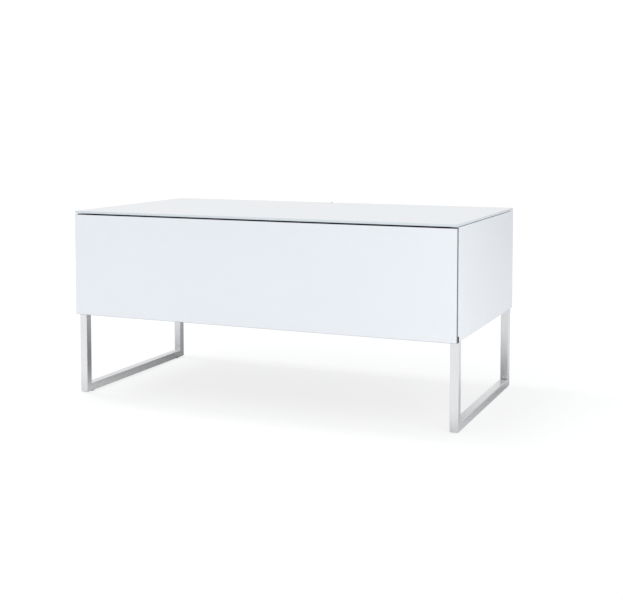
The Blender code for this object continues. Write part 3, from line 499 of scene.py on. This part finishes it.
def weld_bead(start, end, radius, ripple, spokes=10):
    """A fillet bead between two points, drawn as overlapping ripples along a round section."""
    shape = bmesh.new()
    along = end - start
    across = along.orthogonal().normalized()
    over = along.normalized().cross(across)
    count = max(6, round(along.length / ripple) * BEAD_RINGS)
    rings = []
    for i in range(count + 1):
        share = i / count
        wave = abs(math.sin(math.pi * share * along.length / ripple))
        swell = 1 - BEAD_SWELL + BEAD_SWELL * wave
        taper = min(1.0, BEAD_RAMP * min(share, 1 - share) + BEAD_TIP)
        ring = []
        for k in range(spokes):
            angle = math.tau * k / spokes
            spoke = across * math.cos(angle) + over * math.sin(angle)
            ring.append(shape.verts.new(start + along * share + spoke * radius * swell * taper))
        rings.append(ring)
    for one, two in zip(rings, rings[1:]):
        for k in range(spokes):
            after = (k + 1) % spokes
            shape.faces.new((one[k], one[after], two[after], two[k]))
    shape.faces.new(rings[0][::-1])
    shape.faces.new(rings[-1])
    bmesh.ops.recalc_face_normals(shape, faces=shape.faces)
    return to_mesh(shape, "weld_bead", sharp=80)


class GlassLook(bpy.types.PropertyGroup):
    face_colour: FloatVectorProperty(
        name="Face", description="White paint seen through the glass",
        subtype="COLOR", min=0, max=1, default=linear("F4F7FB"),
    )
    top_edge_colour: FloatVectorProperty(
        name="Top edge", description="Polished edge of the glass top",
        subtype="COLOR", min=0, max=1, default=linear("E0E7EB"),
    )
    # Painted shade: the flap's edge is coloured dark grey to stand for the shadow in the gap round
    # the flap.
    flap_edge_shade: FloatVectorProperty(
        name="Flap edge", description="Edge of the flap's glass, grey in the shadow of the gap",
        subtype="COLOR", min=0, max=1, default=linear("5A6164"),
    )
    paint_cloud: FloatProperty(
        name="Paint cloud", description="Size of the drift in the paint film",
        unit="LENGTH", default=0.18,
    )
    roller_wave: FloatProperty(
        name="Roller wave", description="Spacing of the furnace's wave",
        unit="LENGTH", default=0.25,
    )


class BoardLook(bpy.types.PropertyGroup):
    lacquer_colour: FloatVectorProperty(
        name="Lacquer", description="White gloss lacquer on the sides and behind the flap",
        subtype="COLOR", min=0, max=1, default=linear("F2F5F9"),
    )
    laminate_colour: FloatVectorProperty(
        name="Laminate", description="Black laminate inside the cabinet",
        subtype="COLOR", min=0, max=1, default=linear("17181A"),
    )
    spray_cloud: FloatProperty(
        name="Spray cloud", description="Size of the drift in the lacquer film",
        unit="LENGTH", default=0.12,
    )
    orange_peel: FloatProperty(
        name="Orange peel", description="Size of the ripples in the lacquer",
        unit="LENGTH", default=0.004,
    )
    paper_cloud: FloatProperty(
        name="Paper cloud", description="Size of the drift in the laminate",
        unit="LENGTH", default=0.11,
    )
    pearl_size: FloatProperty(
        name="Pearl", description="Cells of the press texture, coarser than real to show",
        unit="LENGTH", default=0.0015,
    )


class SteelLook(bpy.types.PropertyGroup):
    steel_colour: FloatVectorProperty(
        name="Steel", description="Brushed stainless steel of the legs",
        subtype="COLOR", min=0, max=1, default=linear("EAEAEB"),
    )
    weld_colour: FloatVectorProperty(
        name="Weld", description="Heat-tinted weld metal",
        subtype="COLOR", min=0, max=1, default=linear("B3A894"),
    )
    grain_width: FloatProperty(
        name="Grain width", description="Brush marks, about five times wider than real to show",
        unit="LENGTH", default=0.001,
    )
    grain_length: FloatProperty(
        name="Grain length", description="Length of the brush marks", unit="LENGTH", default=0.09
    )
    seam_width: FloatProperty(
        name="Seam", description="Half the width of the ground mitre weld",
        unit="LENGTH", default=0.0004,
    )
    bead_radius: FloatProperty(
        name="Bead", description="Radius of the weld beads at the plates",
        unit="LENGTH", default=0.0016,
    )
    bead_ripple: FloatProperty(
        name="Ripple", description="Spacing of the ripples on a bead", unit="LENGTH", default=0.003
    )


class FittingLook(bpy.types.PropertyGroup):
    zinc_colour: FloatVectorProperty(
        name="Zinc", description="Plated arms, links, pins and screws",
        subtype="COLOR", min=0, max=1, default=linear("C4C8CC"),
    )
    plastic_colour: FloatVectorProperty(
        name="Plastic", description="Moulded blocks, dampers, latch, edgings and glides",
        subtype="COLOR", min=0, max=1, default=linear("161718"),
    )
    coat_colour: FloatVectorProperty(
        name="Coating", description="Powder coat on the hinge leaves and brackets",
        subtype="COLOR", min=0, max=1, default=linear("1A1A1B"),
    )
    rubber_colour: FloatVectorProperty(
        name="Rubber", description="Bumpers between the flap and the sides",
        subtype="COLOR", min=0, max=1, default=linear("1B1B1B"),
    )
    silicone_colour: FloatVectorProperty(
        name="Silicone", description="Clear dots under the glass top",
        subtype="COLOR", min=0, max=1, default=linear("E4E8EA"),
    )
    rivet_radius: FloatProperty(
        name="Rivet", description="Radius of the rivet heads on the stays",
        unit="LENGTH", default=0.0046,
    )
    rivet_height: FloatProperty(
        name="Rivet height", description="Height of the rivet heads", unit="LENGTH", default=0.0014
    )
    fixing_radius: FloatProperty(
        name="Fixing screw", description="Head radius of the screws in the stays",
        unit="LENGTH", default=0.003,
    )


class StageLook(bpy.types.PropertyGroup):
    floor_colour: FloatVectorProperty(
        name="Floor", description="Seamless studio floor",
        subtype="COLOR", min=0, max=1, default=linear("E2E3E4"),
    )
    floor_size: FloatProperty(
        name="Floor size", description="Side of the floor sheet", unit="LENGTH", default=40.0
    )
    floor_glow: FloatProperty(
        name="Floor glow", description="Share of plain white in the floor round the stand",
        subtype="FACTOR", default=0.765,
    )
    # Painted reflections: the next two set how bright steel sees the floor in front, and how dark,
    # as painted shade, behind the stand.
    floor_mirror: FloatProperty(
        name="Floor in metal", description="The same share where steel mirrors the floor in front",
        subtype="FACTOR", default=0.4,
    )
    floor_painted_dark: FloatProperty(
        name="Dusk", description="How dark the floor behind the stand is where steel mirrors it",
        subtype="FACTOR", default=0.58,
    )
    camera_place: FloatVectorProperty(
        name="Camera", description="Where the camera stands",
        subtype="TRANSLATION", default=(1.1603, -2.6231, 0.6889),
    )
    camera_yaw: FloatProperty(
        name="Turn", description="Turn of the camera to the left", subtype="ANGLE", default=0.3997
    )
    camera_pitch: FloatProperty(
        name="Tilt", description="Tilt of the camera, up being positive",
        subtype="ANGLE", default=-0.0644,
    )
    lens: FloatProperty(
        name="Lens", description="Focal length on a 36 mm sensor", unit="CAMERA", default=64.41
    )
    shift_x: FloatProperty(
        name="Shift across", description="Sideways shift of the lens", default=-0.0083
    )
    shift_y: FloatProperty(
        name="Shift down", description="Downward shift that keeps uprights upright",
        default=-0.1669,
    )
    sky_light: FloatProperty(name="Sky", description="Even light from all round", default=0.73)
    sky_mirror: FloatProperty(
        name="Sky in gloss", description="The sky where gloss and steel mirror it", default=0.88
    )
    key_power: FloatProperty(
        name="Key", description="Soft box overhead", unit="POWER", default=17.0
    )
    side_power: FloatProperty(
        name="Side", description="Soft box at the front right", unit="POWER", default=2.9
    )
    floor_power: FloatProperty(
        name="Floor lamp", description="High soft box that lights the floor alone",
        unit="POWER", default=150.0,
    )


class TVSTAND_OT_glass(bpy.types.Operator):
    """Gives the glass top and the flap their back-painted glass"""

    bl_idname = "tvstand.glass"
    bl_label = "Glass Top and Flap"

    def execute(self, context):
        look = context.scene.tvstand_glass
        top = painted_glass(look, "back_painted_glass_top", (0, 0, 1), look.top_edge_colour)
        flap = painted_glass(look, "back_painted_glass_flap", (0, 1, 0), look.flap_edge_shade)
        dress(["glass_top"], top)
        dress(["flap_glass"], flap)
        return {"FINISHED"}


class TVSTAND_OT_boards(bpy.types.Operator):
    """Lacquers the sides and the flap's board, and lines the inside with black laminate"""

    bl_idname = "tvstand.boards"
    bl_label = "Cabinet Boards"

    def execute(self, context):
        look = context.scene.tvstand_boards
        dress(named("side_panel", "flap_board"), gloss_lacquer(look))
        dress(["top_panel", "bottom_panel", "back_panel", "divider"], black_laminate(look))
        return {"FINISHED"}


class TVSTAND_OT_legs(bpy.types.Operator):
    """Brushes the sled legs and adds the weld beads along their mounting plates"""

    bl_idname = "tvstand.legs"
    bl_label = "Sled Legs"

    def execute(self, context):
        look = context.scene.tvstand_steel
        dress(named("leg_frame"), brushed_stainless(look))
        metal = weld_metal(look)
        run = Vector((0, PLATE_LENGTH / 2 - BEAD_STOP, 0))
        for side, sign in SIDES:
            low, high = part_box(f"leg_frame_{side}")
            inner_face = max(abs(low.x), abs(high.x)) - TUBE
            x = sign * (inner_face - BEAD_SEAT[0] * look.bead_radius)
            z = high.z - PLATE_THICK - BEAD_SEAT[1] * look.bead_radius
            for row in ("front", "rear"):
                screws = [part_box(f"leg_screw_{side}_{row}_{end}") for end in ("inner", "outer")]
                y = sum(corner.y for screw in screws for corner in screw) / 4
                centre = Vector((x, y, z))
                mesh = weld_bead(centre - run, centre + run, look.bead_radius, look.bead_ripple)
                new_piece(f"weld_bead_{side}_{row}", mesh, metal, "cabinet")
        return {"FINISHED"}


class TVSTAND_OT_screws(bpy.types.Operator):
    """Replaces the plain screws of the legs and the back with cross-recessed ones"""

    bl_idname = "tvstand.screws"
    bl_label = "Screws"

    def execute(self, context):
        zinc = zinc_plate(context.scene.tvstand_fittings)
        for kind, axis, turn, end, head_share, shank_share in SCREWS:
            mesh = None
            for name in named(kind):
                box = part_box(name)
                radius = (box[1].x - box[0].x) / 2
                height = radius * head_share
                if mesh is None:
                    length = box[1][axis] - box[0][axis] - height
                    mesh = pan_head(radius, height, radius * shank_share, length)
                seat = (box[0] + box[1]) / 2
                seat[axis] = box[end][axis] + (-height if end else height)
                place = Matrix.Translation(seat) @ Matrix.Rotation(turn, 4, "X")
                piece = new_piece(f"{name}_recessed", mesh, zinc, "cabinet", place)
                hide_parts(name)
        return {"FINISHED"}


class TVSTAND_OT_fittings(bpy.types.Operator):
    """Finishes the fittings and glides, and adds the rivet heads and fixing screws of the stays"""

    bl_idname = "tvstand.fittings"
    bl_label = "Hinges, Stays and Latch"

    def execute(self, context):
        look = context.scene.tvstand_fittings
        zinc, plastic = zinc_plate(look), moulded_black(look)
        dress(named("stay_arm", "stay_link", "hinge_pin", "latch_strike", "latch_plunger"), zinc)
        moulded = ("hinge_block", "damper", "latch_body", "notch_lining", "outlet_ring", "glide")
        dress(named(*moulded), plastic)
        dress(named("hinge_leaf", "stay_bracket"), coated_steel(look))
        dress(named("flap_bumper"), black_rubber(look))
        dress(named("glass_pad"), clear_silicone(look))
        turns = {j["name"]: Vector(j["pos_m"]) for j in frame["joints"] if j["type"] == "hinge"}
        for side, sign in SIDES:
            damper, elbow = turns[f"arm_{side}_turn"], turns[f"link_{side}_turn"]
            pivot = turns["flap_hinge"] + elbow - damper
            self.add_rivets(look, zinc, side, sign, damper, elbow, pivot)
            self.add_screws(look, zinc, side, sign, damper, pivot)
        return {"FINISHED"}

    def add_rivets(self, look, zinc, side, sign, damper, elbow, pivot):
        """The heads on the three pins of a stay."""
        head = rivet_head(look.rivet_radius, look.rivet_height)
        inward = Matrix.Rotation(-sign * math.pi / 2, 4, "Y")
        outward = Matrix.Rotation(sign * math.pi / 2, 4, "Y")
        link_in, arm_out = sorted(abs(corner.x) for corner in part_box(f"stay_link_{side}"))
        arm_in = min(abs(corner.x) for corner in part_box(f"stay_arm_{side}"))
        rivets = (
            ("elbow_rivet", elbow, link_in - GAP, inward, f"link_{side}"),
            ("elbow_tail", elbow, arm_out + GAP, outward, f"link_{side}"),
            ("pivot_rivet", pivot, link_in - GAP, inward, "flap"),
            ("damper_rivet", damper, arm_in - GAP, inward, f"arm_{side}"),
        )
        for name, centre, x, turn, body in rivets:
            place = Matrix.Translation((sign * x, centre.y, centre.z)) @ turn
            new_piece(f"{name}_{side}", head, zinc, body, place)

    def add_screws(self, look, zinc, side, sign, damper, pivot):
        """The screws that hold a damper to the side and its bracket to the flap."""
        radius = look.fixing_radius
        height, shank = (radius * share for share in FIXING_SHARES)
        screw = pan_head(radius, height, shank, FIXING_DEPTH)
        inward = Matrix.Rotation(-sign * math.pi / 2, 4, "Y")
        rearward = Matrix.Rotation(-math.pi / 2, 4, "X")
        board = min(abs(corner.x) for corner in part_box(f"side_panel_{side}"))
        x_side = board - FIT - DAMPER_BASE - GAP
        low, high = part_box(f"stay_bracket_{side}")
        x = (low.x + high.x) / 2 - sign * BRACKET_INSET
        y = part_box("flap_board")[1].y + FIT + BRACKET_BASE + GAP
        for row, way in (("lower", -1), ("upper", 1)):
            seat = (sign * x_side, damper.y, damper.z + way * DAMPER_SCREWS / 2)
            place = Matrix.Translation(seat) @ inward
            new_piece(f"damper_screw_{side}_{row}", screw, zinc, "cabinet", place)
            place = Matrix.Translation((x, y, pivot.z + way * BRACKET_SCREWS / 2)) @ rearward
            new_piece(f"bracket_screw_{side}_{row}", screw, zinc, "flap", place)


class TVSTAND_OT_stage(bpy.types.Operator):
    """Sets up the white floor, the soft lights and the camera"""

    bl_idname = "tvstand.stage"
    bl_label = "Studio Stage"

    def execute(self, context):
        look = context.scene.tvstand_stage
        floor = self.make_floor(context, look)
        self.make_sky(context, look)
        self.make_lights(context, look, floor)
        self.make_camera(context, look)
        context.scene.view_settings.view_transform = "Standard"
        return {"FINISHED"}

    def make_floor(self, context, look):
        """A sheet of paper on the ground, far wider than the picture."""
        half = look.floor_size / 2
        mesh = bpy.data.meshes.new("studio_floor")
        corners = [(-half, -half, 0), (half, -half, 0), (half, half, 0), (-half, half, 0)]
        mesh.from_pydata(corners, [], [(0, 1, 2, 3)])
        mesh.materials.append(seamless_paper(look))
        floor = bpy.data.objects.new("studio_floor", mesh)
        context.scene.collection.objects.link(floor)
        return floor

    def make_sky(self, context, look):
        """Even light from all round, pale where gloss mirrors it and white behind the stand."""
        world = bpy.data.worlds.new("studio")
        world.use_nodes = True
        tree = world.node_tree
        tree.nodes.clear()
        path, seen = camera_rays(tree)
        tints = ((SKY_TINT, look.sky_light), (MIRROR_TINT, look.sky_mirror), (WHITE, 1.0))
        skies = []
        for tint, strength in tints:
            sky = add(tree, "ShaderNodeBackground", {"Color": tint, "Strength": strength})
            skies.append(sky.outputs[0])
        light, pale, white = skies
        glossy = {0: path.outputs["Is Glossy Ray"], 1: light, 2: pale}
        mirrored = add(tree, "ShaderNodeMixShader", glossy)
        mixed = add(tree, "ShaderNodeMixShader", {0: seen, 1: mirrored.outputs[0], 2: white})
        add(tree, "ShaderNodeOutputWorld", {"Surface": mixed.outputs[0]})
        context.scene.world = world

    def make_lights(self, context, look, floor):
        """Soft boxes turned to the middle of the stand, and one that looks down and lights the
        floor alone, for the long shadow. Gloss mirrors the sky, and no lamp shows on it."""
        middle = (CAD_BOX[0] + CAD_BOX[1]) / 2
        floor_alone = bpy.data.collections.new("floor_alone")
        floor_alone.objects.link(floor)
        for name, place, width, height, power, alone in SOFT_BOXES:
            lamp = bpy.data.lights.new(name, "AREA")
            lamp.shape = "RECTANGLE"
            lamp.size = width
            lamp.size_y = height
            lamp.energy = getattr(look, power)
            light = bpy.data.objects.new(name, lamp)
            context.scene.collection.objects.link(light)
            light.visible_camera = False
            light.visible_glossy = False
            light.location = place
            if alone:
                light.light_linking.receiver_collection = floor_alone
            else:
                towards = middle - Vector(place)
                light.rotation_euler = towards.to_track_quat("-Z", "Y").to_euler()

    def make_camera(self, context, look):
        lens = bpy.data.cameras.new("camera")
        lens.lens = look.lens
        lens.shift_x = look.shift_x
        lens.shift_y = look.shift_y
        camera = bpy.data.objects.new("camera", lens)
        context.scene.collection.objects.link(camera)
        camera.location = look.camera_place
        camera.rotation_euler = (math.pi / 2 + look.camera_pitch, 0, look.camera_yaw)
        context.scene.camera = camera


class TVSTAND_PT_sidebar(bpy.types.Panel):
    """Lists the finishes and the buttons that apply them"""

    bl_idname = "TVSTAND_PT_sidebar"
    bl_label = "Television Stand"
    bl_space_type = "VIEW_3D"
    bl_region_type = "UI"
    bl_category = "TV Stand"

    def draw(self, context):
        for operator, group in STEPS:
            box = self.layout.box()
            box.operator(operator)
            look = getattr(context.scene, group)
            for name in look.bl_rna.properties.keys():
                if name not in ("rna_type", "name"):
                    box.prop(look, name)


LOOKS = (
    ("tvstand_glass", GlassLook),
    ("tvstand_boards", BoardLook),
    ("tvstand_steel", SteelLook),
    ("tvstand_fittings", FittingLook),
    ("tvstand_stage", StageLook),
)
STEPS = (
    ("tvstand.glass", "tvstand_glass"),
    ("tvstand.boards", "tvstand_boards"),
    ("tvstand.legs", "tvstand_steel"),
    ("tvstand.screws", "tvstand_fittings"),
    ("tvstand.fittings", "tvstand_fittings"),
    ("tvstand.stage", "tvstand_stage"),
)
OPERATORS = (
    TVSTAND_OT_glass,
    TVSTAND_OT_boards,
    TVSTAND_OT_legs,
    TVSTAND_OT_screws,
    TVSTAND_OT_fittings,
    TVSTAND_OT_stage,
)


def register():
    for name, group in LOOKS:
        bpy.utils.register_class(group)
        setattr(bpy.types.Scene, name, PointerProperty(type=group))
    for operator in OPERATORS:
        bpy.utils.register_class(operator)
    bpy.utils.register_class(TVSTAND_PT_sidebar)


def unregister():
    bpy.utils.unregister_class(TVSTAND_PT_sidebar)
    for operator in reversed(OPERATORS):
        bpy.utils.unregister_class(operator)
    for name, group in reversed(LOOKS):
        delattr(bpy.types.Scene, name)
        bpy.utils.unregister_class(group)


def main():
    register()
    bpy.ops.tvstand.glass()
    bpy.ops.tvstand.boards()
    bpy.ops.tvstand.legs()
    bpy.ops.tvstand.screws()
    bpy.ops.tvstand.fittings()
    bpy.ops.tvstand.stage()


if __name__ == "__main__":
    main()
